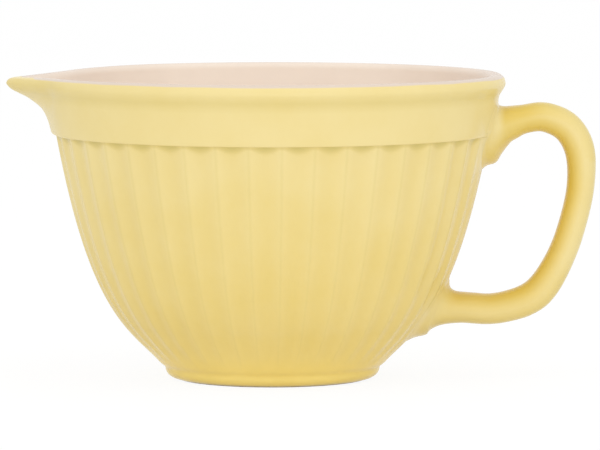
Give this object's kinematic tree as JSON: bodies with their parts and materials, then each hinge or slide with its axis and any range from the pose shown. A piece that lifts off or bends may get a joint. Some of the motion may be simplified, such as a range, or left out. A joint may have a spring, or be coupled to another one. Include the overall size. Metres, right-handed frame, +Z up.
{
  "type": "batter bowl",
  "caption": "Deep glazed batter bowl with a fluted wall, a plain collar, a drawn pouring lip and a loop handle opposite it.",
  "frame": {"origin": "On the bowl's axis, in the plane of the foot ring that it stands on", "axes": "+Z up along the bowl's axis, +X out through the handle, -X out through the pouring lip, Y across"},
  "size_m": [0.2416, 0.1908, 0.125],
  "materials": {
    "yellow_glaze": "Glossy opaque pale lemon-yellow glaze over a pale earthenware body, a touch thinner and darker on the flutes' ridges and pooled to a deeper yellow in the corners under the collar and the rim",
    "cream_liner_glaze": "Glossy opaque liner glaze, pale cream with a faint pink cast"
  },
  "bodies": {
    "root": {"bowl_body": "yellow_glaze", "inside_glaze": "cream_liner_glaze", "handle": "yellow_glaze", "upper_slip_joint": "yellow_glaze", "lower_slip_joint": "yellow_glaze"}
  },
  "joints": []
}
